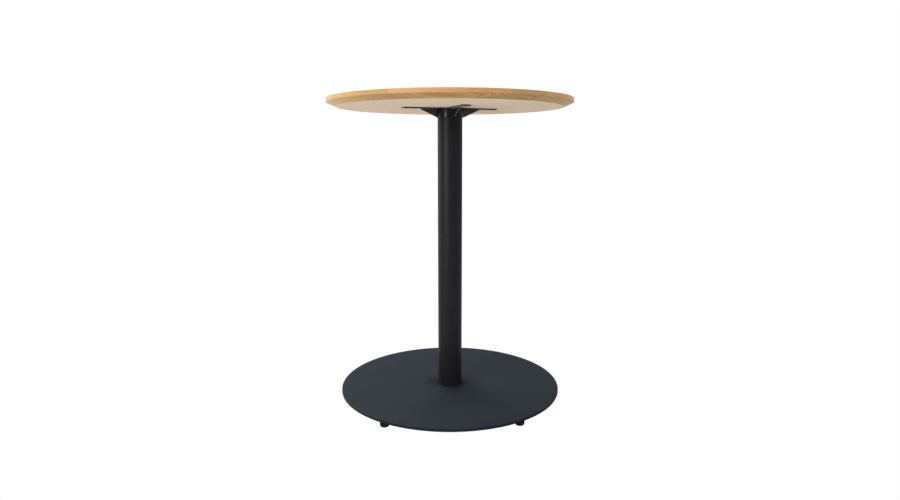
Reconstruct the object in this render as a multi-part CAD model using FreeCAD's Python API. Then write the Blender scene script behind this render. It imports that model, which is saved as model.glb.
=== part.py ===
import FreeCAD, Part
import math
import os

# A round bar table. Its wooden top is glued up from staves and bevelled underneath. A welded steel
# cross carries the top on a tubular column, and a tie rod clamps cross, column and base plate together.
# Five levelling feet screw into bushes under the plate.
# The origin is on the floor below the middle of the table, +Z points up and +X runs along the grain.

# Overall sizes, with the feet screwed right in
table_height = 1100.0
top_diameter = 880.0
base_diameter = 828.0
column_diameter = 90.0

# Tabletop
rim_height = 14.0
bevel_height = 14.5
bevel_width = 34.0
rim_arris = 1.0
stave_count = 12

# Cross under the tabletop
cross_angle = 18.0
arm_count = 4
arm_reach = 177.0
arm_start = 34.0
arm_width = 35.0
arm_thickness = 4.0
arm_corner_radius = 2.0
gusset_reach_share = 0.485
gusset_thickness = 4.0
gusset_toe = 2.0
collar_height = 30.0
collar_wall = 4.0
collar_fit = 0.3
collar_socket_depth = 12.0
collar_disc_thickness = 5.0
weld_gap = 0.2

# Screws and inserts that hold the tabletop on the cross
screw_diameter = 6.0
screw_length = 16.0
screw_head_diameter = 12.0
screw_socket_flats = 4.0
screw_socket_depth = 2.2
screw_seat_play = 0.15
screw_hole_play = 0.3
screw_thread_play = 0.1
screw_end_distance = 15.0
screw_gusset_distance = 20.0
insert_diameter = 10.0
insert_length = 13.0
insert_seat_play = 0.1

# Column
column_wall = 2.5

# Base plate
base_thickness = 10.0
base_edge_radius = 3.0
locating_disc_height = 8.0
locating_disc_play = 0.3

# Tie rod with its nuts and washers
rod_diameter = 12.0
rod_hole_play = 0.5
rod_thread_play = 0.1
rod_overhang = 2.5
nut_height = 10.0
nut_flats = 18.0
washer_diameter = 40.0
washer_thickness = 2.5

# Levelling feet
foot_count = 5
foot_angle = 19.5
foot_inset = 24.5
foot_travel = 7.5
bush_diameter = 22.0
bush_height = 8.0
stud_diameter = 10.0
stud_play = 0.05
stud_end_play = 0.5
stud_head_diameter = 33.0
stud_head_height = 7.6
stud_head_chamfer = 0.8
stud_stop_gap = 0.3
pivot_diameter = 8.0
pivot_length = 3.0
pivot_play = 0.05
pivot_end_play = 0.5
glide_diameter = 31.0
glide_height = 6.5
glide_edge_radius = 3.5
glide_seat_gap = 0.1

# Working values
cut_overrun = 2.0
height_tolerance = 0.001
hexagon_sides = 6
full_turn = 360.0
half_share = 0.5

# Heights that follow from the sizes above
stud_head_bottom = glide_height + glide_seat_gap
stud_head_top = stud_head_bottom + stud_head_height
bush_bottom = stud_head_top + stud_stop_gap
base_bottom = bush_bottom + bush_height
base_top = base_bottom + base_thickness
underside = table_height - rim_height - bevel_height
arm_bottom = underside - arm_thickness
collar_bottom = arm_bottom - collar_height
column_top = collar_bottom + collar_socket_depth
collar_disc_top = column_top + collar_disc_thickness
lower_nut_top = base_bottom - washer_thickness
upper_nut_bottom = collar_disc_top + washer_thickness
rod_bottom = lower_nut_top - nut_height - rod_overhang
rod_top = upper_nut_bottom + nut_height + rod_overhang
stud_top = base_bottom + foot_travel
stud_hole_top = stud_top + stud_end_play

# Radii that follow from the sizes above
top_radius = top_diameter * half_share
base_radius = base_diameter * half_share
foot_reach = base_radius - foot_inset
column_radius = column_diameter * half_share
column_inner_radius = column_radius - column_wall
collar_inner_radius = column_radius + collar_fit
collar_radius = collar_inner_radius + collar_wall
rod_radius = rod_diameter * half_share
rod_hole_radius = rod_radius + rod_hole_play
gusset_reach = collar_radius + (arm_reach - collar_radius) * gusset_reach_share
screw_inner_reach = gusset_reach + screw_gusset_distance
screw_outer_reach = arm_reach - screw_end_distance
screw_radius = screw_diameter * half_share
screw_head_radius = screw_head_diameter * half_share
insert_radius = insert_diameter * half_share
stud_radius = stud_diameter * half_share
stud_hole_radius = stud_radius + stud_play


def cylinder(radius, bottom, top, place=(0.0, 0.0)):
    """A round bar between two heights, on an upright axis at a place."""
    return Part.makeCylinder(radius, top - bottom, FreeCAD.Vector(place[0], place[1], bottom))


def ring(outer_radius, inner_radius, bottom, top, place=(0.0, 0.0)):
    """A round bar with a hole right through it."""
    hole = cylinder(inner_radius, bottom - cut_overrun, top + cut_overrun, place)
    return cylinder(outer_radius, bottom, top, place).cut(hole)


def slab(low, high):
    """A rectangular block between its lowest and highest corners."""
    size = [high[i] - low[i] for i in range(len(low))]
    return Part.makeBox(size[0], size[1], size[2], FreeCAD.Vector(*low))


def turned(outline, place=(0.0, 0.0)):
    """A solid turned about an upright axis at a place, from an outline of (radius, height) points."""
    points = [FreeCAD.Vector(place[0] + radius, place[1], height) for radius, height in outline]
    face = Part.Face(Part.makePolygon(points + points[:1]))
    axis = FreeCAD.Vector(place[0], place[1], 0.0)
    return face.revolve(axis, FreeCAD.Vector(0.0, 0.0, 1.0), full_turn)


def hexagon_prism(flats, bottom, top, place=(0.0, 0.0)):
    """An upright six-sided prism of a given width across its flats."""
    corner_radius = flats * half_share / math.cos(math.pi / hexagon_sides)
    corners = [polar(corner_radius, full_turn * i / hexagon_sides) for i in range(hexagon_sides)]
    points = [FreeCAD.Vector(place[0] + x, place[1] + y, bottom) for x, y in corners]
    face = Part.Face(Part.makePolygon(points + points[:1]))
    return face.extrude(FreeCAD.Vector(0.0, 0.0, top - bottom))


def polar(radius, angle):
    """The place at a radius and an angle in degrees about the upright axis."""
    return radius * math.cos(math.radians(angle)), radius * math.sin(math.radians(angle))


def turn_about_axis(shape, angle):
    """A copy of a shape, turned about the table's upright axis."""
    copy = shape.copy()
    copy.rotate(FreeCAD.Vector(), FreeCAD.Vector(0.0, 0.0, 1.0), angle)
    return copy


def edges_at_height(shape, height):
    """The edges of a shape that lie flat at one height."""
    found = []
    for edge in shape.Edges:
        box = edge.BoundBox
        if abs(box.ZMin - height) < height_tolerance and abs(box.ZMax - height) < height_tolerance:
            found.append(edge)
    return found


def arm_angles():
    """The directions in which the arms of the cross point."""
    return [cross_angle + full_turn * i / arm_count for i in range(arm_count)]


def screw_places():
    """Where the tabletop screws stand: two along each arm."""
    reaches = (screw_inner_reach, screw_outer_reach)
    return [polar(reach, angle) for angle in arm_angles() for reach in reaches]


def foot_places():
    """Where the levelling feet stand, evenly spaced on a circle."""
    return [polar(foot_reach, foot_angle + full_turn * i / foot_count) for i in range(foot_count)]


def tabletop_staves():
    """The bevelled round top, bored for the inserts and parted along its glue lines.

    A glue line runs through the middle, so the outermost two staves are half as wide as the others.
    """
    whole = turned([
        (0.0, underside),
        (top_radius - bevel_width, underside),
        (top_radius, underside + bevel_height),
        (top_radius, table_height - rim_arris),
        (top_radius - rim_arris, table_height),
        (0.0, table_height),
    ])
    pocket_radius = insert_radius + insert_seat_play
    pocket_top = underside + insert_length
    pockets = [cylinder(pocket_radius, underside - cut_overrun, pocket_top, p) for p in screw_places()]
    bored = whole.cut(Part.makeCompound(pockets))
    stave_width = top_diameter / (stave_count - 1)
    outside = top_radius + cut_overrun
    staves = []
    for i in range(stave_count):
        near_side = (i - stave_count * half_share) * stave_width
        low = (-outside, max(near_side, -outside), underside - cut_overrun)
        high = (outside, min(near_side + stave_width, outside), table_height + cut_overrun)
        staves.append(bored.common(slab(low, high)).Solids[0])
    return staves


def threaded_insert(place):
    """A threaded sleeve sunk flush in the underside of the top."""
    bore_radius = screw_radius + screw_thread_play
    return ring(insert_radius, bore_radius, underside, underside + insert_length, place)


def top_screw(place):
    """A countersunk screw, sunk flush in an arm and driven up into an insert."""
    bottom = arm_bottom + screw_seat_play
    screw = turned([
        (0.0, bottom),
        (screw_head_radius, bottom),
        (screw_radius, bottom + screw_head_radius - screw_radius),
        (screw_radius, bottom + screw_length),
        (0.0, bottom + screw_length),
    ], place)
    socket_top = bottom + screw_socket_depth
    return screw.cut(hexagon_prism(screw_socket_flats, bottom - cut_overrun, socket_top, place))


def countersunk_hole(reach):
    """The cutter for one screw hole in an arm that points along X."""
    sink_radius = screw_head_radius + 2 * screw_seat_play
    hole_radius = screw_radius + screw_hole_play
    return turned([
        (0.0, arm_bottom - cut_overrun),
        (sink_radius + cut_overrun, arm_bottom - cut_overrun),
        (hole_radius, arm_bottom + sink_radius - hole_radius),
        (hole_radius, underside + cut_overrun),
        (0.0, underside + cut_overrun),
    ], (reach, 0.0))


def spider_arm(angle):
    """A flat steel arm with two countersunk holes, welded on the rim of the collar."""
    half_width = arm_width * half_share
    strip = slab((arm_start, -half_width, arm_bottom), (arm_reach, half_width, underside))
    tip_edges = [e for e in strip.Edges if abs(e.BoundBox.XMin - arm_reach) < height_tolerance
                 and e.BoundBox.ZLength > arm_thickness * half_share]
    strip = strip.makeFillet(arm_corner_radius, tip_edges)
    for reach in (screw_inner_reach, screw_outer_reach):
        strip = strip.cut(countersunk_hole(reach))
    return turn_about_axis(strip, angle)


def spider_gusset(angle):
    """A triangular web that props an arm against the collar."""
    root = collar_radius + weld_gap
    outline = [
        (root, collar_bottom),
        (gusset_reach, arm_bottom - gusset_toe),
        (gusset_reach, arm_bottom),
        (root, arm_bottom),
    ]
    side = -gusset_thickness * half_share
    points = [FreeCAD.Vector(reach, side, height) for reach, height in outline]
    face = Part.Face(Part.makePolygon(points + points[:1]))
    return turn_about_axis(face.extrude(FreeCAD.Vector(0.0, gusset_thickness, 0.0)), angle)


def spider_collar():
    """The short tube in the middle of the cross, a socket for the head of the column."""
    return ring(collar_radius, collar_inner_radius, collar_bottom, arm_bottom)


def spider_disc():
    """The disc welded inside the collar, which the tie rod pulls down on the column."""
    return ring(collar_inner_radius - weld_gap, rod_hole_radius, column_top, collar_disc_top)


def column_tube():
    """The column, standing on the base plate with its head in the collar."""
    return ring(column_radius, column_inner_radius, base_top, column_top)


def locating_disc():
    """The disc on the base plate that centres the foot of the column."""
    outer_radius = column_inner_radius - locating_disc_play
    return ring(outer_radius, rod_hole_radius, base_top, base_top + locating_disc_height)


def base_plate():
    """The heavy round plate, eased along its top edge, with blind holes for the studs."""
    plate = cylinder(base_radius, base_bottom, base_top)
    plate = plate.makeFillet(base_edge_radius, edges_at_height(plate, base_top))
    plate = plate.cut(cylinder(rod_hole_radius, base_bottom - cut_overrun, base_top + cut_overrun))
    for place in foot_places():
        plate = plate.cut(cylinder(stud_hole_radius, base_bottom - cut_overrun, stud_hole_top, place))
    return plate


def tie_rod():
    """The threaded rod up the middle of the column."""
    return cylinder(rod_radius, rod_bottom, rod_top)


def washer(bottom):
    """A wide washer on the tie rod."""
    return ring(washer_diameter * half_share, rod_hole_radius, bottom, bottom + washer_thickness)


def nut(bottom):
    """A hexagon nut on the tie rod."""
    bore_radius = rod_radius + rod_thread_play
    bore = cylinder(bore_radius, bottom - cut_overrun, bottom + nut_height + cut_overrun)
    return hexagon_prism(nut_flats, bottom, bottom + nut_height).cut(bore)


def foot_bush(place):
    """A threaded bush welded under the base plate."""
    return ring(bush_diameter * half_share, stud_hole_radius, bush_bottom, base_bottom, place)


def foot_stud(place):
    """A levelling screw: stud above, round grip in the middle, and the pivot that turns in the glide.

    The stud is long enough to fill its bush with the foot run right out.
    """
    head = cylinder(stud_head_diameter * half_share, stud_head_bottom, stud_head_top, place)
    rims = edges_at_height(head, stud_head_bottom) + edges_at_height(head, stud_head_top)
    head = head.makeChamfer(stud_head_chamfer, rims)
    stud = cylinder(stud_radius, stud_head_top, stud_top, place)
    pivot = cylinder(pivot_diameter * half_share, stud_head_bottom - pivot_length, stud_head_bottom, place)
    return head.fuse([stud, pivot]).removeSplitter()


def foot_glide(place):
    """The plastic pad on the floor, with a socket for the pivot of its stud."""
    pad = cylinder(glide_diameter * half_share, 0.0, glide_height, place)
    pad = pad.makeFillet(glide_edge_radius, edges_at_height(pad, 0.0))
    socket_radius = pivot_diameter * half_share + pivot_play
    socket_bottom = stud_head_bottom - pivot_length - pivot_end_play
    return pad.cut(cylinder(socket_radius, socket_bottom, glide_height + cut_overrun, place))


def numbered(name, shapes):
    """Names shapes one by one: name_1, name_2 and so on."""
    digits = len(str(len(shapes)))
    return {name + "_" + str(i + 1).zfill(digits): shape for i, shape in enumerate(shapes)}


def build():
    """Every piece of the table, by the name of its node."""
    nodes = {}
    nodes.update(numbered("top_stave", tabletop_staves()))
    nodes["threaded_inserts"] = Part.makeCompound([threaded_insert(p) for p in screw_places()])
    nodes["top_screws"] = Part.makeCompound([top_screw(p) for p in screw_places()])
    nodes.update(numbered("spider_arm", [spider_arm(a) for a in arm_angles()]))
    nodes.update(numbered("spider_gusset", [spider_gusset(a) for a in arm_angles()]))
    nodes["spider_collar"] = spider_collar()
    nodes["spider_disc"] = spider_disc()
    nodes["column_tube"] = column_tube()
    nodes["locating_disc"] = locating_disc()
    nodes["tie_rod"] = tie_rod()
    nodes["upper_washer"] = washer(collar_disc_top)
    nodes["upper_nut"] = nut(upper_nut_bottom)
    nodes["lower_washer"] = washer(lower_nut_top)
    nodes["lower_nut"] = nut(lower_nut_top - nut_height)
    nodes["base_plate"] = base_plate()
    nodes["foot_bushes"] = Part.makeCompound([foot_bush(p) for p in foot_places()])
    nodes.update(numbered("foot_stud", [foot_stud(p) for p in foot_places()]))
    nodes.update(numbered("foot_glide", [foot_glide(p) for p in foot_places()]))
    return nodes


os.makedirs("parts", exist_ok=True)
for node, shape in build().items():
    shape.exportStep("parts/" + node + ".step")
    box = shape.BoundBox
    print(node, "solids", len(shape.Solids), "volume", round(shape.Volume), "valid", shape.isValid(),
          "z", round(box.ZMin, 2), "to", round(box.ZMax, 2))
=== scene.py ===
# %% [markdown]
# # A tall round table, made piece by piece
#
# The real object is a bar table: a bevelled wooden top glued up from boards, a welded steel cross
# under it, one tubular column, a heavy round foot plate and five levelling feet that screw in and
# out. The measured model of it is already there as a fixed frame. This lesson puts finished
# pieces around that frame: each piece takes its place from the frame, never the other way round.

# %% The fixed frame
import math

import bmesh
import bpy
from mathutils import Matrix, Vector


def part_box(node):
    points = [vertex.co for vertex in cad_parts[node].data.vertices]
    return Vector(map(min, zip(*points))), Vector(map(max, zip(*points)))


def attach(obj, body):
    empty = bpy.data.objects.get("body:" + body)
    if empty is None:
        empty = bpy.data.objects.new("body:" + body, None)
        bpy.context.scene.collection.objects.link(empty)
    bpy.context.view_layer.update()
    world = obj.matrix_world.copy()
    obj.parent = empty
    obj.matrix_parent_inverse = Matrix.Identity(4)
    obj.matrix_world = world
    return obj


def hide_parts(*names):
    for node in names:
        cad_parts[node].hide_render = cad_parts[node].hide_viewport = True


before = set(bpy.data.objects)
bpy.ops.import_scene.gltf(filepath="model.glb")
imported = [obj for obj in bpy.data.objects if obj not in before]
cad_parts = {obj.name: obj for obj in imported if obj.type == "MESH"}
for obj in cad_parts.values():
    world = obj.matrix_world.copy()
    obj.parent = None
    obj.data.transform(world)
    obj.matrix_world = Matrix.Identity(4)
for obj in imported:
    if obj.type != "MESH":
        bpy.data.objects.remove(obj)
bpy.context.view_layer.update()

# %% [markdown]
# ## Small helpers
#
# Every piece here starts as a bmesh, which is Blender's mesh in the making. Turned parts come
# from an outline that is spun about the upright axis, as on a lathe. Sawn parts come from a face
# that is extruded. Holes are cut with a second shape. At the end the mesh becomes an object that
# keeps its place in its own points, so the object itself stays at the origin.

# %% Lengths and axes
MM = 0.001
UP = Vector((0, 0, 1))
FULL_TURN = 2 * math.pi
one_point = MM / 1000  # points nearer to each other than this are one point
same_level = MM / 10   # heights and radii that differ by less are the same
fine_steps, small_steps, tiny_steps = 256, 64, 48  # steps round the axis, by size


def polar(radius, angle):
    """The place at a radius and an angle in radians about the upright axis."""
    return Vector((radius * math.cos(angle), radius * math.sin(angle), 0))


# %% Turning on the lathe
def spun(bm, steps):
    """One closed skin, made by spinning all the edges of a shape round the axis."""
    bmesh.ops.spin(bm, geom=bm.verts[:] + bm.edges[:], cent=(0, 0, 0), axis=UP, angle=FULL_TURN,
                   steps=steps, use_merge=True)
    bmesh.ops.remove_doubles(bm, verts=bm.verts, dist=one_point)
    bmesh.ops.recalc_face_normals(bm, faces=bm.faces)
    return bm


def turned(outline, steps):
    """A shape spun from (radius, height) points that start and end on the axis."""
    bm = bmesh.new()
    points = [bm.verts.new((radius, 0, height)) for radius, height in outline]
    for pair in zip(points, points[1:]):
        bm.edges.new(pair)
    return spun(bm, steps)


# %% Extruding and sawing
def extrude(bm, faces, rise):
    """Extrudes some faces of a shape by a vector. The old faces stay where they were."""
    grown = bmesh.ops.extrude_face_region(bm, geom=faces)
    moved = [v for v in grown["geom"] if isinstance(v, bmesh.types.BMVert)]
    bmesh.ops.translate(bm, verts=moved, vec=rise)


def saw_off(bm, place, outwards):
    """Saws off what lies beyond a plane, and closes the cut."""
    everything = bm.verts[:] + bm.edges[:] + bm.faces[:]
    sawn = bmesh.ops.bisect_plane(bm, geom=everything, dist=one_point, plane_co=place,
                                  plane_no=outwards, clear_outer=True)
    rim = [e for e in sawn["geom_cut"] if isinstance(e, bmesh.types.BMEdge)]
    bmesh.ops.holes_fill(bm, edges=rim, sides=0)


# %% Rounding edges
circular = 0.5
least_sharp = math.radians(30)


def round_edges(bm, edges, radius, segments=3, affect="EDGES"):
    """Rounds some of a shape's edges, or the points of an outline."""
    bmesh.ops.bevel(bm, geom=list(edges), offset=radius, offset_type="OFFSET", segments=segments,
                    profile=circular, affect=affect, clamp_overlap=True, material=-1)


def sharp_edges(bm):
    """The edges where two faces meet at a clear angle."""
    return [e for e in bm.edges if len(e.link_faces) == 2 and e.calc_face_angle() > least_sharp]


# %% Cutting one shape with another
def cut(bm, cutter, how="DIFFERENCE"):
    """What is left of a shape after another was taken from it, or shared with it."""
    shapes = []
    for shape in (bm, cutter):
        mesh = bpy.data.meshes.new("shape")
        shape.to_mesh(mesh)
        shape.free()
        shapes.append(bpy.data.objects.new("shape", mesh))
        bpy.context.scene.collection.objects.link(shapes[-1])
    worked = shapes[0].modifiers.new("cut", "BOOLEAN")
    worked.object = shapes[1]
    worked.operation = how
    worked.solver = "EXACT"
    depsgraph = bpy.context.evaluated_depsgraph_get()
    left = bmesh.new()
    left.from_object(shapes[0], depsgraph)
    for shape in shapes:
        bpy.data.meshes.remove(shape.data)
    return left


def add_shape(bm, other):
    """Adds the faces of another shape to this one, and lets the other go."""
    mesh = bpy.data.meshes.new("shape")
    other.to_mesh(mesh)
    other.free()
    bm.from_mesh(mesh)
    bpy.data.meshes.remove(mesh)


def copies(one, places):
    """One shape set down at several places."""
    mesh = bpy.data.meshes.new("shape")
    one.to_mesh(mesh)
    one.free()
    bm = bmesh.new()
    for place in places:
        start = len(bm.verts)
        bm.from_mesh(mesh)
        bm.verts.ensure_lookup_table()
        bmesh.ops.translate(bm, verts=bm.verts[start:], vec=place)
    bpy.data.meshes.remove(mesh)
    return bm


# %% From shape to finished piece
crisp_angle = math.radians(38)


def finished(bm, name, body, finish, replaced=()):
    """Makes a named piece of a shape: soft across round edges, crisp across sharp ones."""
    mesh = bpy.data.meshes.new(name)
    bm.to_mesh(mesh)
    bm.free()
    mesh.shade_smooth()
    mesh.set_sharp_from_angle(angle=crisp_angle)
    mesh.materials.append(finish)
    piece = bpy.data.objects.new(name, mesh)
    bpy.context.scene.collection.objects.link(piece)
    shading = piece.modifiers.new("even shading", "WEIGHTED_NORMAL")
    shading.keep_sharp = True
    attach(piece, body)
    if replaced:
        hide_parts(*replaced)
    print(name, len(mesh.polygons), "faces")
    return piece


# %% [markdown]
# ## Building a finish from nodes
#
# A finish is a small network of nodes that ends in one shader. The patterns are worked out in the
# object's own coordinates, in metres, so they have their true size and go right through the
# material, as grain does. A few helpers keep the networks short: they add a node, a sum, a blend
# or a noise.

# %% Helpers for nodes
def add(tree, kind, inputs=None, **settings):
    """Adds a node. An input is either a number or another node's output."""
    made = tree.nodes.new(kind)
    for name, value in settings.items():
        setattr(made, name, value)
    for socket, value in (inputs or {}).items():
        if isinstance(value, bpy.types.NodeSocket):
            tree.links.new(value, made.inputs[socket])
        else:
            made.inputs[socket].default_value = value
    return made


def sum_of(tree, how, *values):
    """One step of arithmetic on node outputs and numbers."""
    return add(tree, "ShaderNodeMath", dict(enumerate(values)), operation=how).outputs[0]


def parts_of(tree, vector):
    """The three numbers of a vector or a colour."""
    return add(tree, "ShaderNodeSeparateXYZ", {"Vector": vector}).outputs


def between(tree, amount, low, high):
    """A number from low to high, picked by an amount from 0 to 1."""
    return sum_of(tree, "MULTIPLY_ADD", amount, high - low, low)


def blended(tree, share, one, other, how="MIX"):
    """A blend of two colours."""
    return add(tree, "ShaderNodeMix", {"Factor": share, 6: one, 7: other},
               data_type="RGBA", blend_type=how).outputs[2]


def tones(tree, amount, stops):
    """Turns an amount from 0 to 1 into a colour, by (position, colour) stops."""
    ramp = add(tree, "ShaderNodeValToRGB", {"Fac": amount})
    while len(ramp.color_ramp.elements) < len(stops):
        ramp.color_ramp.elements.new(0.5)
    for element, (position, colour) in zip(ramp.color_ramp.elements, stops):
        element.position = position
        element.color = (*colour, 1)
    return ramp.outputs["Color"]


def grain_noise(tree, place, waves, detail=3.0, roughness=0.5):
    """Noise of so many waves for each metre: one number, or three for X, Y and Z."""
    stretch = waves if isinstance(waves, tuple) else (waves,) * 3
    sized = add(tree, "ShaderNodeMapping", {"Vector": place, "Scale": stretch}).outputs[0]
    noise = add(tree, "ShaderNodeTexNoise",
                {"Vector": sized, "Scale": 1.0, "Detail": detail, "Roughness": roughness})
    return noise.outputs["Fac"]


def new_finish(name):
    """An empty finish: its node tree, its shader and the object's own coordinates."""
    finish = bpy.data.materials.new(name)
    finish.use_nodes = True
    tree = finish.node_tree
    place = add(tree, "ShaderNodeTexCoord").outputs["Object"]
    return finish, tree, tree.nodes["Principled BSDF"], place


def set_values(shader, values):
    """Sets plain numbers and colours on a shader's own sockets."""
    for socket, value in values.items():
        shader.inputs[socket].default_value = value


def bumped(tree, shader, height, distance):
    """Lets a height pattern show as relief of a true depth in metres."""
    bump = add(tree, "ShaderNodeBump", {"Height": height, "Distance": distance})
    tree.links.new(bump.outputs["Normal"], shader.inputs["Normal"])


# %% [markdown]
# ## The lacquered wood
#
# The top is glued up from boards of one width, with the grain along X. In the real tree the year
# rings are long tubes about a pith. A board is a slice of that, so its face shows arches and its
# end shows arcs. The finish does the same: it measures the distance from a pith line that lies at
# another place in each board, bends it a little, and colours it ring by ring. Fine fibres and
# pores run along the grain, and some boards lean to red and others to gold. The top, rim and
# bevel are oiled to a warm tone and lacquered. Below the bevel the underside gets the same wood
# mixed much paler: a painted reflection, which stands for the whitish sheen that the underside
# shows when seen along it. Seen at a grazing angle, both brighten softly, the underside a little
# more. The shader's sheen does that.

# %% Rings of the tree
board_width = 80 * MM
ring_width = 5.2 * MM
below_top = 1.07                   # a height just under the boards, in metres
pith_aside = 45 * MM               # how far a pith may lie to either side of its board's middle
pith_below = (30 * MM, 90 * MM)    # and how far under that height
pith_tilt = 0.08                   # its greatest slope along the board
wander_size = 34 * MM
wander_waves = (2.2, 9, 9)         # waves for each metre along X, Y and Z, here and below


def pith_distance(tree, place, chance, board):
    """How far each point lies from its own board's pith, in metres, with a natural wander."""
    x, y, z = parts_of(tree, place)
    luck = parts_of(tree, chance)
    middle = sum_of(tree, "MULTIPLY", sum_of(tree, "ADD", board, 0.5), board_width)
    aside = between(tree, luck[0], -pith_aside, pith_aside)
    across = sum_of(tree, "ADD", sum_of(tree, "SUBTRACT", y, middle), aside)
    tilt = between(tree, luck[1], -pith_tilt, pith_tilt)
    below = between(tree, luck[2], *pith_below)
    depth = sum_of(tree, "ADD", sum_of(tree, "SUBTRACT", z, below_top), below)
    depth = sum_of(tree, "ADD", depth, sum_of(tree, "MULTIPLY", x, tilt))
    flat = add(tree, "ShaderNodeCombineXYZ", {"X": across, "Y": depth}).outputs[0]
    away = add(tree, "ShaderNodeVectorMath", {0: flat}, operation="LENGTH").outputs["Value"]
    shifted = add(tree, "ShaderNodeVectorMath", {0: place, 1: chance}, operation="ADD").outputs[0]
    wander = grain_noise(tree, shifted, wander_waves, detail=2.0)
    return sum_of(tree, "ADD", away, sum_of(tree, "MULTIPLY", wander, wander_size)), shifted


# %% Wood finish
year_tones = [(0.0, (0.45, 0.235, 0.072)), (0.16, (0.54, 0.305, 0.100)),
              (0.60, (0.66, 0.40, 0.145)), (0.90, (0.59, 0.34, 0.114)),
              (1.0, (0.45, 0.235, 0.072))]
fibre_tones = [(0.3, (0.80, 0.77, 0.72)), (0.7, (1.06, 1.06, 1.06))]
red_to_gold = [(0.35, (1.02, 0.95, 1.04)), (0.65, (0.99, 1.04, 0.90))]
painted_pale_tones = [(0.35, (1.0, 0.74, 0.59)), (0.5, (1.0, 0.79, 0.57)), (0.65, (0.95, 0.77, 0.54))]
pore_mask = [(0.36, (1, 1, 1)), (0.43, (0, 0, 0))]
pore_colour = (0.30, 0.16, 0.06, 1)
pore_share = 0.45
fibre_waves, pore_waves = (7, 620, 620), (45, 2400, 2400)
streak_waves, cloud_waves = (2.5, 40, 40), (3, 14, 14)
board_tone, cloud_tone = (0.87, 1.09), (0.85, 1.15)
wood_roughness = (0.48, 0.64)
fibre_height = 0.3
grain_depth = 0.05 * MM
wood_gloss = 0.35
wood_sheen = (1.0, 0.82, 0.62, 1)


def wood_finish(name, painted_paleness, sheen, softness):
    """Hardwood with its grain along X, different in each board, paler by a painted reflection."""
    finish, tree, shader, place = new_finish(name)
    board = sum_of(tree, "FLOOR", sum_of(tree, "DIVIDE", parts_of(tree, place)["Y"], board_width))
    dice = add(tree, "ShaderNodeTexWhiteNoise", {"W": board}, noise_dimensions="1D")
    chance = dice.outputs["Color"]
    away, shifted = pith_distance(tree, place, chance, board)
    ring_share = sum_of(tree, "FRACT", sum_of(tree, "DIVIDE", away, ring_width))
    fibre = grain_noise(tree, shifted, fibre_waves, detail=4.0, roughness=0.6)
    streak = grain_noise(tree, shifted, streak_waves, detail=2.0)
    cloud = grain_noise(tree, shifted, cloud_waves, detail=2.0)
    pores = grain_noise(tree, shifted, pore_waves, detail=2.0, roughness=0.7)
    open_pore = tones(tree, pores, pore_mask)
    body = blended(tree, 1.0, tones(tree, ring_share, year_tones), tones(tree, fibre, fibre_tones),
                   "MULTIPLY")
    body = blended(tree, 1.0, body, tones(tree, streak, red_to_gold), "MULTIPLY")
    tone = between(tree, parts_of(tree, chance)[1], *board_tone)
    value = sum_of(tree, "MULTIPLY", tone, between(tree, cloud, *cloud_tone))
    toned = add(tree, "ShaderNodeHueSaturation", {"Color": body, "Value": value}).outputs[0]
    dark = blended(tree, sum_of(tree, "MULTIPLY", open_pore, pore_share), toned, pore_colour)
    # the pale tones mixed in are painted reflection, for the underside's whitish grazing sheen
    colour = blended(tree, painted_paleness, dark, tones(tree, streak, painted_pale_tones))
    tree.links.new(colour, shader.inputs["Base Color"])
    tree.links.new(between(tree, fibre, *wood_roughness), shader.inputs["Roughness"])
    set_values(shader, {"Specular IOR Level": wood_gloss, "Sheen Weight": sheen,
                        "Sheen Roughness": softness, "Sheen Tint": wood_sheen})
    relief = sum_of(tree, "SUBTRACT", sum_of(tree, "MULTIPLY", fibre, fibre_height), open_pore)
    bumped(tree, shader, relief, grain_depth)
    return finish


hardwood = wood_finish("lacquered hardwood", painted_paleness=0.0, sheen=0.7, softness=0.3)
# the underside's wood: mixed much paler as a painted reflection of its whitish grazing sheen
pale_painted_wood = wood_finish("hardwood, paler by painted reflection", painted_paleness=0.82, sheen=0.85, softness=0.5)
print("each wood finish has", len(hardwood.node_tree.nodes), "nodes")

# %% [markdown]
# ## Powder coat and the small finishes
#
# Powder coat is baked paint, and under a raking light it shows a fine orange peel. The steel
# parts were coated with different powders. The foot plate is quite matt and a little blue in its
# black. Beside the column's foot its colour carries painted shade: it is darkened softly there,
# more to the sides than to the front, like the shade in a corner where little light gets in. The
# column is smoother and a more neutral black, with a soft highlight down its length. The collar
# of the cross was turned smooth, so under its coat it shines. Its arms are rolled bar, on which
# the coat stays a little velvety: seen along its face from below, it brightens to a pale grey,
# and the shader's sheen does that. The webs are smooth sheet with a greyer gloss. Their sloping
# sheared edges look down, and they are painted a lighter grey: a painted highlight, which stands
# for the bright floor they reflect. The other steels are zinc plated or blackened, and the feet
# are moulded plastic with a fine spark-eroded skin.

# %% Powder coats
# painted shade round the column's foot: its start, end, squash front to back and stops
shade_start, shade_end = 45 * MM, 130 * MM
shade_squash = 1.8
shade_stops = [(0.0, 0.05), (0.10, 0.12), (0.27, 0.30), (0.45, 0.62), (0.65, 0.82), (1.0, 1.0)]


def painted_foot_shade(tree, place, colour):
    """Painted shade: a colour made softly darker beside the foot of the column."""
    x, y, _ = parts_of(tree, place)
    squashed = sum_of(tree, "MULTIPLY", y, shade_squash)
    flat = add(tree, "ShaderNodeCombineXYZ", {"X": x, "Y": squashed}).outputs[0]
    away = add(tree, "ShaderNodeVectorMath", {0: flat}, operation="LENGTH").outputs["Value"]
    part = add(tree, "ShaderNodeMapRange",
               {"Value": away, "From Min": shade_start, "From Max": shade_end}).outputs[0]
    shade = tones(tree, part, [(at, (left,) * 3) for at, left in shade_stops])
    return blended(tree, 1.0, colour, shade, "MULTIPLY")


coat_clouds, coat_specks = 9.0, 900.0  # waves for each metre
speck_share = 0.35
tone_swing = 0.2
gloss_swing = 0.06
velvet_look = {"Sheen Roughness": 0.3, "Sheen Tint": (0.95, 0.97, 1.0, 1)}


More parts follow.
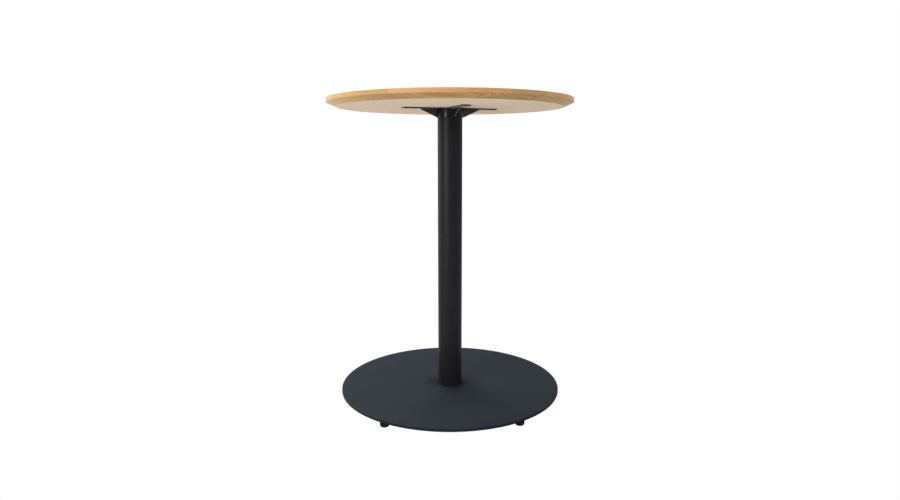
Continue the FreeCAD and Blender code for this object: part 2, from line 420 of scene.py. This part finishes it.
def coat_finish(name, colour, roughness, peel_size, peel_depth, specular, painted_shade=False, velvet=0.0):
    """Baked powder coat: faintly clouded in colour and gloss, with an orange-peel relief."""
    finish, tree, shader, place = new_finish(name)
    set_values(shader, {"Specular IOR Level": specular, "Sheen Weight": velvet, **velvet_look})
    cloud = grain_noise(tree, place, coat_clouds, detail=4.0)
    speck = grain_noise(tree, place, coat_specks, detail=2.0)
    mixed = sum_of(tree, "MULTIPLY_ADD", speck, speck_share,
                   sum_of(tree, "MULTIPLY", cloud, 1 - speck_share))
    dark = tuple(c * (1 - tone_swing) for c in colour)
    light = tuple(c * (1 + tone_swing) for c in colour)
    black = tones(tree, mixed, [(0.3, dark), (0.7, light)])
    # the plate's coat gets painted shade beside the column's foot
    tree.links.new(painted_foot_shade(tree, place, black) if painted_shade else black, shader.inputs["Base Color"])
    gloss = between(tree, mixed, roughness - gloss_swing, roughness + gloss_swing)
    tree.links.new(gloss, shader.inputs["Roughness"])
    peel = grain_noise(tree, place, 1 / peel_size, roughness=0.6)
    bumped(tree, shader, peel, peel_depth)
    return finish


# the foot plate's coat, with painted shade beside the column's foot
matt_coat = coat_finish("matt powder coat", (0.0125, 0.0170, 0.0235), roughness=0.50,
                        peel_size=1.1 * MM, peel_depth=0.05 * MM, specular=0.045, painted_shade=True)
smooth_coat = coat_finish("smooth powder coat", (0.0100, 0.0100, 0.0125), roughness=0.42,
                          peel_size=1.6 * MM, peel_depth=0.03 * MM, specular=0.15)
satin_coat = coat_finish("satin powder coat", (0.0025, 0.0030, 0.0040), roughness=0.17,
                         peel_size=2.4 * MM, peel_depth=0.03 * MM, specular=0.22)
rolled_coat = coat_finish("powder coat on rolled bar", (0.0055, 0.0056, 0.0062), roughness=0.30,
                          peel_size=2.4 * MM, peel_depth=0.03 * MM, specular=0.28, velvet=0.42)
sheet_coat = coat_finish("powder coat on sheet", (0.0165, 0.0168, 0.0185), roughness=0.15,
                         peel_size=2.4 * MM, peel_depth=0.03 * MM, specular=0.45)
# lighter grey for the webs' downward edges: a painted highlight for the floor they reflect
edge_highlight_coat = coat_finish("coat on cut edges, painted highlight", (0.095, 0.097, 0.106), roughness=0.35,
                          peel_size=0.8 * MM, peel_depth=0.05 * MM, specular=0.5)
plastic = coat_finish("moulded plastic", (0.004, 0.004, 0.0045), roughness=0.42,
                      peel_size=0.5 * MM, peel_depth=0.03 * MM, specular=0.25)

# %% Plated finishes
drawn_lines = (900, 900, 2600)
plate_clouds = 120.0
line_depth = 0.01 * MM
cloud_swing = 0.1
clouded = 0.78


def plated_finish(name, colour, roughness):
    """Plated steel: metal with fine drawn lines and cloudy gloss."""
    finish, tree, shader, place = new_finish(name)
    set_values(shader, {"Metallic": 1.0})
    lines = grain_noise(tree, place, drawn_lines)
    cloud = grain_noise(tree, place, plate_clouds)
    dark = tuple(c * clouded for c in colour)
    tree.links.new(tones(tree, cloud, [(0.25, dark), (0.75, colour)]), shader.inputs["Base Color"])
    gloss = between(tree, cloud, roughness - cloud_swing, roughness + cloud_swing)
    tree.links.new(gloss, shader.inputs["Roughness"])
    bumped(tree, shader, lines, line_depth)
    return finish


zinc = plated_finish("bright zinc", (0.60, 0.61, 0.63), roughness=0.32)
yellow_zinc = plated_finish("plain zinc", (0.55, 0.54, 0.48), roughness=0.38)
blackened = plated_finish("blackened steel", (0.045, 0.045, 0.048), roughness=0.38)
print("finishes:", [m.name for m in bpy.data.materials if m.use_nodes and m.users == 0])

# %% [markdown]
# ## The wooden top
#
# The top is a disc whose lower edge was planed to a long bevel, so that it looks thin from the
# side. It starts as a frustum for the bevelled layer. Its upper face is extruded for the straight
# rim, and then the arrises are rounded by hand-sanding sizes. Eight pockets for the threaded
# inserts are bored from below. Last the panel is sawn into its boards along the glue lines,
# because the real panel was glued from them, and each board keeps its own grain. A board carries
# two finishes: its flat lower faces get the paler wood with its painted reflection, all others the
# lacquered wood.

# %% The bevelled panel
board_count = 12
board_nodes = [f"top_stave_{i + 1:02d}" for i in range(board_count)]
top_low = min(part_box(n)[0].z for n in board_nodes)
top_high = max(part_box(n)[1].z for n in board_nodes)
top_radius = max(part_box(n)[1].x for n in board_nodes)
bevel_width = 34 * MM
bevel_height = 14.5 * MM
top_arris = 1 * MM
soft_arris = 0.8 * MM


def at_height(bm, height, radius):
    """The edges that run round a turned shape at one height and radius."""
    return [e for e in bm.edges if all(abs(v.co.z - height) < same_level for v in e.verts)
            and all(abs(v.co.xy.length - radius) < same_level for v in e.verts)]


def bevelled_panel():
    """The whole top before it is sawn into boards."""
    bm = bmesh.new()
    middle = Matrix.Translation((0, 0, top_low + bevel_height / 2))
    bmesh.ops.create_cone(bm, cap_ends=True, segments=fine_steps, radius1=top_radius - bevel_width,
                          radius2=top_radius, depth=bevel_height, matrix=middle)
    upper = max(bm.faces, key=lambda f: f.calc_center_median().z)
    extrude(bm, [upper], (0, 0, top_high - top_low - bevel_height))
    round_edges(bm, at_height(bm, top_high, top_radius), top_arris, segments=4)
    round_edges(bm, at_height(bm, top_low + bevel_height, top_radius), soft_arris)
    round_edges(bm, at_height(bm, top_low, top_radius - bevel_width), soft_arris)
    return bm


# %% Pockets for the inserts
collar_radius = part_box("spider_collar")[1].x
cross_angle = math.radians(18)
arm_reach = 177 * MM
web_share = 0.485
web_reach = collar_radius + web_share * (arm_reach - collar_radius)
past_web, from_tip = 20 * MM, 15 * MM
screw_reaches = (web_reach + past_web, arm_reach - from_tip)
arm_count = 4
arm_angles = [cross_angle + FULL_TURN * i / arm_count for i in range(arm_count)]
screw_places = [polar(reach, angle) for angle in arm_angles for reach in screw_reaches]


def bores(places, radius, low, high, steps=32):
    """Round cutters between two heights."""
    bm = bmesh.new()
    for place in places:
        middle = Matrix.Translation((place.x, place.y, (low + high) / 2))
        bmesh.ops.create_cone(bm, cap_ends=True, segments=steps, radius1=radius, radius2=radius,
                              depth=high - low, matrix=middle)
    return bm


insert_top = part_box("threaded_inserts")[1].z
pocket_radius = 5.1 * MM
overcut = 2 * MM
pockets = bores(screw_places, pocket_radius, top_low - overcut, insert_top)
panel = cut(bevelled_panel(), pockets)
print("the panel is bored at", len(screw_places), "places")


# %% Sawing the boards
def sawn_board(whole, near_side, far_side):
    """The part of the panel between two glue lines."""
    bm = whole.copy()
    for side, outwards in ((near_side, -1), (far_side, 1)):
        if abs(side) < top_radius - MM:
            saw_off(bm, (0, side, 0), (0, outwards, 0))
    bmesh.ops.recalc_face_normals(bm, faces=bm.faces)
    return bm


for i, node in enumerate(board_nodes):
    near_side = (i - board_count / 2) * board_width
    board = sawn_board(panel, near_side, near_side + board_width)
    # flat lower faces get the second finish, whose paleness is painted reflection
    for face in board.faces:
        face.material_index = int(face.calc_center_median().z < top_low + same_level)
    piece = finished(board, f"top_board_{i + 1:02d}", "table", hardwood, [node])
    piece.data.materials.append(pale_painted_wood)
panel.free()

# %% [markdown]
# ## The cross under the top
#
# Four flat steel arms lie against the wood and meet over a short collar, the socket for the head
# of the column. A triangular web props each arm. The arms were sheared from flat bar: their tips
# have small round corners, and two holes are drilled and countersunk in each. An arm is a face,
# extruded to the bar's thickness, with rounded corners. The webs are made in the same way, on
# edge, and carry two finishes: the faces that look down are their sheared edges, and they get a
# lighter grey coat whose paleness is a painted highlight.

# %% Arms
arm_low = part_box("spider_arm_1")[0].z
arm_start = 34 * MM
arm_width = 35 * MM
arm_thickness = 4 * MM
tip_round = 2 * MM
broken_edge = 0.35 * MM


def plate_from(outline, thickness, upright=False):
    """A plate extruded from its (reach, side) outline, lying flat or standing along the arm."""
    bm = bmesh.new()
    if upright:
        points = [bm.verts.new((reach, -thickness / 2, height)) for reach, height in outline]
        rise = Vector((0, thickness, 0))
    else:
        points = [bm.verts.new((reach, side, arm_low)) for reach, side in outline]
        rise = Vector((0, 0, thickness))
    extrude(bm, [bm.faces.new(points)], rise)
    bmesh.ops.recalc_face_normals(bm, faces=bm.faces)
    return bm


def turn(bm, angle):
    """Turns a shape about the table's upright axis."""
    bmesh.ops.rotate(bm, verts=bm.verts, cent=(0, 0, 0), matrix=Matrix.Rotation(angle, 3, "Z"))
    return bm


def countersink(reach):
    """The cutter for one hole that opens downwards in a cone."""
    sink, hole = 6.3 * MM, 3.3 * MM
    low, high = arm_low - MM, arm_low + arm_thickness + MM
    cutter = turned([(0, low), (sink + MM, low), (hole, arm_low + sink - hole), (hole, high),
                     (0, high)], tiny_steps)
    bmesh.ops.translate(cutter, verts=cutter.verts, vec=(reach, 0, 0))
    return cutter


def cross_arm(angle):
    """One arm with rounded tip corners, broken edges and two countersunk holes."""
    half = arm_width / 2
    bm = plate_from([(arm_start, -half), (arm_reach, -half), (arm_reach, half), (arm_start, half)],
                    arm_thickness)
    tips = [e for e in bm.edges if all(v.co.x > arm_reach - MM for v in e.verts)
            and abs(e.verts[0].co.z - e.verts[1].co.z) > MM]
    round_edges(bm, tips, tip_round, segments=5)
    round_edges(bm, sharp_edges(bm), broken_edge, segments=2)
    for reach in screw_reaches:
        bm = cut(bm, countersink(reach))
    return turn(bm, angle)


for i, angle in enumerate(arm_angles):
    finished(cross_arm(angle), f"cross_arm_{i + 1}", "table", rolled_coat,
             [f"spider_arm_{i + 1}"])

# %% Webs
collar_low, collar_high = (corner.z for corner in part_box("spider_collar"))
web_thickness = 4 * MM
web_toe = 2 * MM
web_gap = 0.2 * MM
looking_down = -0.5


def cross_web(angle):
    """One triangular web with broken edges."""
    root = collar_radius + web_gap
    bm = plate_from([(root, collar_low), (web_reach, collar_high - web_toe),
                     (web_reach, collar_high), (root, collar_high)], web_thickness, upright=True)
    round_edges(bm, sharp_edges(bm), broken_edge, segments=2)
    return turn(bm, angle)


for i, angle in enumerate(arm_angles):
    web = cross_web(angle)
    web.normal_update()
    # faces that look down get the second coat, lighter grey as a painted highlight
    for face in web.faces:
        face.material_index = int(face.normal.z < looking_down)
    piece = finished(web, f"cross_web_{i + 1}", "table", sheet_coat,
                     [f"spider_gusset_{i + 1}"])
    piece.data.materials.append(edge_highlight_coat)

# %% [markdown]
# ## Collar, column and the tie rod's washers
#
# These are all pieces of round stock: a ring is a small closed outline, spun once round the axis.
# The outline gets its rounded corners first, by a bevel on its points, so that the spun ring has
# soft edges all round.

# %% Rings
def ring(inner, outer, low, high, edge, steps=96):
    """A ring with rounded edges, spun from a rounded rectangle."""
    bm = bmesh.new()
    corners = [(inner, low), (outer, low), (outer, high), (inner, high)]
    points = [bm.verts.new((radius, 0, height)) for radius, height in corners]
    bm.faces.new(points)
    round_edges(bm, points, edge, affect="VERTICES")
    bmesh.ops.delete(bm, geom=bm.faces[:], context="FACES_ONLY")
    return spun(bm, steps)


column_low, column_high = (corner.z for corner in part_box("column_tube"))
column_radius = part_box("column_tube")[1].x
column_wall = 2.5 * MM
column_play = 0.3 * MM
rod_hole = 6.5 * MM
collar = ring(column_radius + column_play, collar_radius, collar_low, collar_high,
              edge=0.7 * MM, steps=128)
finished(collar, "cross_collar", "table", satin_coat, ["spider_collar"])
tube = ring(column_radius - column_wall, column_radius, column_low, column_high,
            edge=0.5 * MM, steps=160)
finished(tube, "column", "table", smooth_coat, ["column_tube"])
for node, name in (("upper_washer", "rod_washer_upper"), ("lower_washer", "rod_washer_lower")):
    low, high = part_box(node)
    washer = ring(rod_hole, high.x, low.z, high.z, edge=0.3 * MM)
    finished(washer, name, "table", zinc, [node])

# %% [markdown]
# ## Weld beads
#
# The cross is welded, and the beads show as small rippled fillets in its corners. A bead is a
# thin round bar, extruded in short steps whose ends are scaled up and down by turns. It lies half
# sunk in the corner between two plates, as molten metal does.

# %% Beads
bead_radius = 1.9 * MM
bead_ripple = 1.8 * MM
bead_end, bead_waist = 0.6, 0.86  # sizes as shares of the full radius
fewest_ripples = 2


def add_bead(bm, start, end):
    """A rippled bead between two points. The end face of each step stays inside it."""
    run = end - start
    steps = 2 * max(fewest_ripples, round(run.length / bead_ripple))
    lie = Matrix.Translation(start) @ run.to_track_quat("Z", "Y").to_matrix().to_4x4()
    made = bmesh.ops.create_circle(bm, cap_ends=True, segments=8, radius=bead_radius * bead_end,
                                   matrix=lie)
    face = made["verts"][0].link_faces[0]
    for i in range(1, steps + 1):
        grown = bmesh.ops.extrude_face_region(bm, geom=[face])["geom"]
        face = next(f for f in grown if isinstance(f, bmesh.types.BMFace))
        bmesh.ops.translate(bm, verts=face.verts, vec=run / steps)
        size = 1.0 if i % 2 else bead_waist
        wanted = bead_radius * (bead_end if i == steps else size)
        centre = face.calc_center_median()
        now = (face.verts[0].co - centre).length
        bmesh.ops.scale(bm, verts=face.verts, vec=(wanted / now,) * 3,
                        space=Matrix.Translation(-centre))


def cross_beads():
    """Beads of all four arms: web to collar, web to arm, and collar to arm."""
    bm = bmesh.new()
    side = web_thickness / 2
    inset = bead_radius
    root = math.sqrt(collar_radius ** 2 - side ** 2)
    lip = math.sqrt(collar_radius ** 2 - (arm_width / 2) ** 2)
    for angle in arm_angles:
        spin_to = Matrix.Rotation(angle, 4, "Z")
        for sign in (-1, 1):
            foot = Vector((root, sign * side, collar_low + 2 * inset))
            head = Vector((root, sign * side, collar_high - 2 * inset))
            add_bead(bm, spin_to @ foot, spin_to @ head)
            near = Vector((root + 2 * inset, sign * side, collar_high))
            far = Vector((web_reach - 2 * inset, sign * side, collar_high))
            add_bead(bm, spin_to @ near, spin_to @ far)
            inner = Vector((collar_radius, sign * (side + inset), collar_high))
            outer = Vector((lip, sign * (arm_width / 2 - inset), collar_high))
            add_bead(bm, spin_to @ inner, spin_to @ outer)
    bmesh.ops.recalc_face_normals(bm, faces=bm.faces)
    return bm


finished(cross_beads(), "cross_welds", "table", satin_coat)

# %% [markdown]
# ## Screws that hold the top
#
# Eight countersunk screws go up through the arms into the inserts. Their heads are cones that lie
# flush in the steel, so from the side nothing shows below the arms. Head and shank are turned in
# one piece from an outline, the socket is cut with a six-sided bar, and the screw is copied to
# its eight places.

# %% Countersunk screws
head_low, thread_high = (corner.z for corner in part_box("top_screws"))
head_radius = 6 * MM
shank_radius = 3 * MM
screw_tip = 0.6 * MM
socket_flats = 4 * MM
socket_depth = 2.2 * MM


def corner_radius(flats):
    """The radius through the corners of a hexagon that is so wide across its flats."""
    return flats / 2 / math.cos(math.pi / 6)


def countersunk_screw():
    """One screw on the upright axis."""
    cone_top = head_low + head_radius - shank_radius
    bm = turned([(0, head_low), (head_radius, head_low), (shank_radius, cone_top),
                 (shank_radius, thread_high - screw_tip), (shank_radius - screw_tip, thread_high),
                 (0, thread_high)], tiny_steps)
    socket = bmesh.new()
    middle = Matrix.Translation((0, 0, head_low + socket_depth / 2 - MM / 2))
    corner = corner_radius(socket_flats)
    bmesh.ops.create_cone(socket, cap_ends=True, segments=6, radius1=corner, radius2=corner,
                          depth=socket_depth + MM, matrix=middle)
    return cut(bm, socket)


finished(copies(countersunk_screw(), screw_places), "top_screw_set", "table",
         blackened, ["top_screws"])

# %% [markdown]
# ## The foot plate
#
# A disc of plate steel, 10 mm thick, keeps the table standing. Its upper edge is eased to a 3 mm
# round, which catches the light as a thin line. It starts as a capped circle, is extruded up, and
# its two rims are rounded. From below it is bored for the tie rod and for the five foot screws.

# %% Plate
plate_low, plate_high = (corner.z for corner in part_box("base_plate"))
plate_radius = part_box("base_plate")[1].x
plate_edge, plate_arris = 3 * MM, 0.6 * MM
foot_angle = math.radians(19.5)
foot_inset = 24.5 * MM
foot_reach = plate_radius - foot_inset
foot_count = 5
foot_places = [polar(foot_reach, foot_angle + FULL_TURN * i / foot_count)
               for i in range(foot_count)]
stud_hole, stud_room = 5.05 * MM, 8 * MM


def foot_plate():
    """The round plate with its eased edge and its bores."""
    bm = bmesh.new()
    bmesh.ops.create_circle(bm, cap_ends=True, segments=fine_steps, radius=plate_radius,
                            matrix=Matrix.Translation((0, 0, plate_low)))
    extrude(bm, bm.faces[:], (0, 0, plate_high - plate_low))
    bmesh.ops.recalc_face_normals(bm, faces=bm.faces)
    round_edges(bm, at_height(bm, plate_high, plate_radius), plate_edge, segments=8)
    round_edges(bm, at_height(bm, plate_low, plate_radius), plate_arris, segments=2)
    below = plate_low - MM
    bm = cut(bm, bores([Vector()], rod_hole, below, plate_high + MM))
    return cut(bm, bores(foot_places, stud_hole, below, plate_low + stud_room))


finished(foot_plate(), "foot_plate", "table", matt_coat, ["base_plate"])

# %% [markdown]
# ## Threads
#
# A screw thread is a ridge that climbs as it goes round. Spin does that when it also moves a
# little up with each step: one ridge outline is swept round several turns, neighbouring turns
# merge into one skin, and two level cuts make clean ends. The pitch is real, so a foot that turns
# once moves down by one pitch and its ridges stay in their nut.

# %% Threaded bars
thread_depth = 0.61  # a share of the pitch, as are the four heights on the ridge
root_end, crest_start, crest_end, root_start = 0.12, 0.44, 0.56, 0.88
thread_steps = 28
thread_point = MM / 200


def threaded_bar(radius, pitch, low, high):
    """A right-handed thread between two heights."""
    root = radius - thread_depth * pitch
    turns = math.ceil((high - low) / pitch) + 2
    bm = bmesh.new()
    outline = [(root, 0), (root, root_end), (radius, crest_start), (radius, crest_end),
               (root, root_start), (root, 1)]
    points = [bm.verts.new((r, 0, low - pitch + share * pitch)) for r, share in outline]
    edges = [bm.edges.new(pair) for pair in zip(points, points[1:])]
    bmesh.ops.spin(bm, geom=points + edges, cent=(0, 0, 0), axis=UP,
                   dvec=(0, 0, pitch / thread_steps), angle=FULL_TURN * turns,
                   steps=thread_steps * turns, use_merge=False)
    bmesh.ops.remove_doubles(bm, verts=bm.verts, dist=thread_point)
    saw_off(bm, (0, 0, low), (0, 0, -1))
    saw_off(bm, (0, 0, high), (0, 0, 1))
    bmesh.ops.recalc_face_normals(bm, faces=bm.faces)
    return bm


# %% The tie rod and its nuts
rod_low, rod_high = (corner.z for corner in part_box("tie_rod"))
rod_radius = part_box("tie_rod")[1].x
rod_pitch = 1.75 * MM
rod_thread = 30 * MM
rod_core = 0.5 * MM
nut_bore = 6.1 * MM
nut_chamfer = 1.2 * MM
nut_spare = 0.05 * MM
chamfer_slope = 0.58


def tie_rod():
    """A rod with a thread at each end and a plain middle of the same size."""
    bm = threaded_bar(rod_radius, rod_pitch, rod_low, rod_low + rod_thread)
    add_shape(bm, threaded_bar(rod_radius, rod_pitch, rod_high - rod_thread, rod_high))
    add_shape(bm, ring(rod_core, rod_radius, rod_low + rod_thread, rod_high - rod_thread,
                       edge=0.2 * MM, steps=tiny_steps))
    return bm


def hexagon_nut(low, high, flats):
    """A six-sided nut whose corners are turned off at both ends."""
    corner = corner_radius(flats)
    bm = bmesh.new()
    middle = Matrix.Translation((0, 0, (low + high) / 2))
    bmesh.ops.create_cone(bm, cap_ends=True, segments=6, radius1=corner, radius2=corner,
                          depth=high - low, matrix=middle @ Matrix.Rotation(math.pi / 6, 4, "Z"))
    rim = corner + nut_spare
    rise = nut_chamfer * chamfer_slope
    turned_off = turned([(0, low), (rim - nut_chamfer, low), (rim, low + rise),
                         (rim, high - rise), (rim - nut_chamfer, high), (0, high)], steps=72)
    bm = cut(bm, turned_off, "INTERSECT")
    return cut(bm, bores([Vector()], nut_bore, low - MM, high + MM, tiny_steps))


finished(tie_rod(), "rod_threaded", "table", zinc, ["tie_rod"])
for node, name in (("upper_nut", "rod_nut_upper"), ("lower_nut", "rod_nut_lower")):
    low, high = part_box(node)
    flats = high.y - low.y
    finished(hexagon_nut(low.z, high.z, flats), name, "table", zinc, [node])

# %% [markdown]
# ## Bushes and levelling feet
#
# Each foot is a screw in a bush that is welded under the plate. Between thumb and finger it is
# turned by a round grip with shallow flutes, and it stands on a plastic pad that doesn't turn
# with it. The flutes are made by pulling every third point of the grip's circle inwards before it
# is extruded.

# %% Bushes
bush_low, bush_high = (corner.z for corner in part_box("foot_bushes"))
bush_radius = 11 * MM


def welded_bush():
    """A bush with its weld bead, on the upright axis."""
    bm = ring(stud_hole, bush_radius, bush_low, bush_high, edge=0.5 * MM, steps=small_steps)
    bead = bmesh.new()
    lie = Matrix.Translation((bush_radius, 0, bush_high)) @ Matrix.Rotation(math.pi / 2, 4, "X")
    bmesh.ops.create_circle(bead, cap_ends=False, segments=12, radius=bead_radius, matrix=lie)
    add_shape(bm, spun(bead, small_steps))
    return bm


finished(copies(welded_bush(), foot_places), "plate_bushes", "table", matt_coat,
         ["foot_bushes"])

# %% Levelling feet
stud_low, stud_high = (corner.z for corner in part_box("foot_stud_1"))
grip_low, grip_high = 6.6 * MM, 14.2 * MM
grip_radius = 16.5 * MM
flute_count = 36
flute_depth = 0.55 * MM
grip_edge = 0.8 * MM
stud_radius, stud_pitch = 5 * MM, 1.5 * MM
pivot_radius, pivot_arris = 4 * MM, 0.4 * MM
sunk = 0.3 * MM  # how far stud and pivot reach into the grip


def fluted_grip():
    """The round grip of a levelling screw."""
    bm = bmesh.new()
    made = bmesh.ops.create_circle(bm, cap_ends=True, segments=flute_count * 3, radius=grip_radius,
                                   matrix=Matrix.Translation((0, 0, grip_low)))
    hollows = made["verts"][::3]
    share = 1 - flute_depth / grip_radius
    bmesh.ops.scale(bm, verts=hollows, vec=(share, share, 1))
    extrude(bm, bm.faces[:], (0, 0, grip_high - grip_low))
    bmesh.ops.recalc_face_normals(bm, faces=bm.faces)
    rims = [e for e in bm.edges if abs(e.verts[0].co.z - e.verts[1].co.z) < same_level]
    round_edges(bm, rims, grip_edge)
    return bm


def levelling_screw(place):
    """Pivot, grip and threaded stud of one foot."""
    bm = fluted_grip()
    add_shape(bm, threaded_bar(stud_radius, stud_pitch, grip_high - sunk, stud_high))
    add_shape(bm, turned([(0, stud_low), (pivot_radius - pivot_arris, stud_low),
                          (pivot_radius, stud_low + pivot_arris), (pivot_radius, grip_low + sunk),
                          (0, grip_low + sunk)], steps=40))
    bmesh.ops.translate(bm, verts=bm.verts, vec=place)
    return bm


def levelling_pad(place):
    """The pad on the floor, with the socket in which the screw turns."""
    radius, height, soft, lip = 15.5 * MM, 6.5 * MM, 3.5 * MM, 0.5 * MM
    bore, bottom, mouth = 4.05 * MM, 3.1 * MM, 0.4 * MM
    curve_steps = 8
    curve = [(radius - soft + soft * math.sin(t), soft - soft * math.cos(t))
             for t in (math.radians(90 / curve_steps * i) for i in range(curve_steps + 1))]
    rim = [(radius, height - lip), (radius - lip, height), (bore + mouth, height),
           (bore, height - mouth), (bore, bottom), (0, bottom)]
    bm = turned([(0, 0)] + curve + rim, small_steps)
    bmesh.ops.translate(bm, verts=bm.verts, vec=place)
    return bm


for i, place in enumerate(foot_places):
    finished(levelling_screw(place), f"levelling_screw_{i + 1}", f"stud_{i + 1}",
             plastic, [f"foot_stud_{i + 1}"])
    finished(levelling_pad(place), f"levelling_pad_{i + 1}", f"glide_{i + 1}",
             plastic, [f"foot_glide_{i + 1}"])

# %% [markdown]
# ## Pieces that stay as measured
#
# A few simple pieces are hidden inside the real table: two discs and the sleeves in the wood.
# Their measured shapes are right, so they stay, and only get the finish of their metal.

# %% Finishes for the kept pieces
kept_finishes = {"threaded_inserts": yellow_zinc, "spider_disc": satin_coat,
                 "locating_disc": matt_coat}
for node, finish in kept_finishes.items():
    for material_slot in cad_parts[node].material_slots:
        material_slot.material = finish
print("kept as measured:", sorted(kept_finishes))

# %% [markdown]
# ## The photographer's studio
#
# The table stands on plain white paper that runs on to the horizon. The picture shows that paper
# quite white and without a shadow, as after the usual cut-out, so the camera sees it as an even
# white glow, while the table still gets its bounced light. A tall soft light stands in front on
# the left and draws the highlight down the column. A tall narrow one, left and behind, edges the
# column with light. A third, behind and above, has a grid over it that keeps its beam on the foot
# plate, so the plate grows darker towards the camera. A smaller one fills in on the right, one
# hangs overhead, and a dim even room does the rest. The camera stands 2.24 m away at a height of
# 0.92 m and looks slightly down with a wide lens.

# %% Floor
def seen_white(tree, other):
    """A shader that is even white for the camera and another one for all bounced light."""
    seen = add(tree, "ShaderNodeLightPath").outputs["Is Camera Ray"]
    glow = add(tree, "ShaderNodeEmission" if tree.nodes.get("Material Output") else
               "ShaderNodeBackground", {"Color": (1, 1, 1, 1), "Strength": 1.0})
    return add(tree, "ShaderNodeMixShader", {0: seen, 1: other, 2: glow.outputs[0]}).outputs[0]


floor_radius = 60
paper_waves = 40.0
paper_tones = [(0.3, (0.55, 0.55, 0.55)), (0.7, (0.59, 0.59, 0.59))]


def floor_finish():
    """White paper."""
    finish, tree, shader, place = new_finish("white floor")
    paper = grain_noise(tree, place, paper_waves, detail=2.0)
    tree.links.new(tones(tree, paper, paper_tones), shader.inputs["Base Color"])
    set_values(shader, {"Roughness": 0.9, "Specular IOR Level": 0.0})
    tree.links.new(seen_white(tree, shader.outputs[0]), tree.nodes["Material Output"].inputs[0])
    return finish


floor_shape = bmesh.new()
bmesh.ops.create_circle(floor_shape, cap_ends=True, segments=small_steps, radius=floor_radius)
floor_mesh = bpy.data.meshes.new("floor")
floor_shape.to_mesh(floor_mesh)
floor_shape.free()
floor_mesh.materials.append(floor_finish())
floor = bpy.data.objects.new("floor", floor_mesh)
bpy.context.scene.collection.objects.link(floor)


# %% Lights
def soft_light(name, place, aim, size, brightness, spread=180):
    """A rectangular soft light aimed at a point. With brightness 1 it would look just white."""
    lamp = bpy.data.lights.new(name, "AREA")
    lamp.shape = "RECTANGLE"
    lamp.size, lamp.size_y = size
    lamp.energy = brightness * math.pi * size[0] * size[1]
    lamp.spread = math.radians(spread)
    light = bpy.data.objects.new(name, lamp)
    light.location = place
    light.rotation_euler = (Vector(aim) - Vector(place)).to_track_quat("-Z", "Y").to_euler()
    light.visible_camera = False
    bpy.context.scene.collection.objects.link(light)


table_middle, table_foot = (0, 0, 0.8), (0, 0, 0)
soft_light("key light", (-1.85, -2.36, 1.6), table_middle, size=(1.0, 2.2), brightness=9.5)
soft_light("strip light", (-1.84, 0.78, 1.4), table_middle, size=(0.8, 2.4), brightness=2.5)
soft_light("back light", (-1.15, 1.55, 1.95), table_foot, size=(1.8, 1.2), brightness=0.96,
           spread=44)
soft_light("right fill", (2.7, -0.3, 2.2), table_middle, size=(1.8, 1.2), brightness=3.8)
soft_light("top light", (0.0, -0.2, 3.6), table_middle, size=(2.6, 2.6), brightness=1.0)

room_brightness = 0.55
world = bpy.data.worlds.new("studio")
bpy.context.scene.world = world
world.use_nodes = True
dim = world.node_tree.nodes["Background"]
set_values(dim, {"Color": (1, 1, 1, 1), "Strength": room_brightness})
world.node_tree.links.new(seen_white(world.node_tree, dim.outputs[0]),
                          world.node_tree.nodes["World Output"].inputs[0])

# %% Camera
lens_length, film_width = 24.172, 36  # in millimetres, as on a real camera
camera_place = (0, -2.2429, 0.9154)
camera_tilt = math.radians(80.76)     # a right angle would look level
camera_data = bpy.data.cameras.new("camera")
camera_data.lens = lens_length
camera_data.sensor_width = film_width
camera = bpy.data.objects.new("camera", camera_data)
camera.location = camera_place
camera.rotation_euler = (camera_tilt, 0, 0)
bpy.context.scene.collection.objects.link(camera)
bpy.context.scene.camera = camera
bpy.context.scene.view_settings.view_transform = "Standard"
